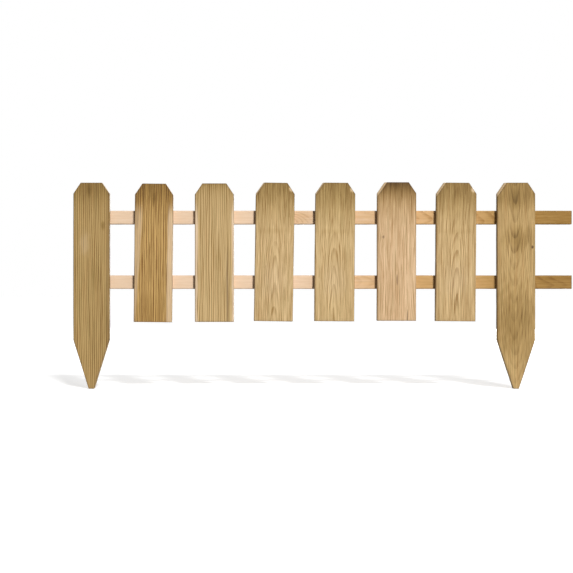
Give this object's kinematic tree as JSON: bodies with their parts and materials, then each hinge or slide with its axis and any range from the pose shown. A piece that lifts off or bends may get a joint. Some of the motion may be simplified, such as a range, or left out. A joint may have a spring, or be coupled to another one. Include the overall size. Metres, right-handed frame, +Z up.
{
  "type": "garden edging fence panel",
  "caption": "Low timber picket edging fence: dog-eared pales on two rails with a pointed stake at each end to drive into soil.",
  "frame": {"origin": "middle of the left stake's blunt foot, at the tip of its point", "axes": "+X along the panel from the left stake to the right one, +Y from the boards' front to the rails' back, +Z up"},
  "size_m": [1.104, 0.038, 0.456],
  "materials": {
    "board_timber": "planed, pressure-treated softwood",
    "rail_timber": "planed pale softwood"
  },
  "bodies": {
    "root": {"left_stake": "board_timber", "pale_1": "board_timber", "pale_2": "board_timber", "pale_3": "board_timber", "pale_4": "board_timber", "pale_5": "board_timber", "pale_6": "board_timber", "right_stake": "board_timber", "upper_rail": "rail_timber", "lower_rail": "rail_timber"}
  },
  "joints": []
}
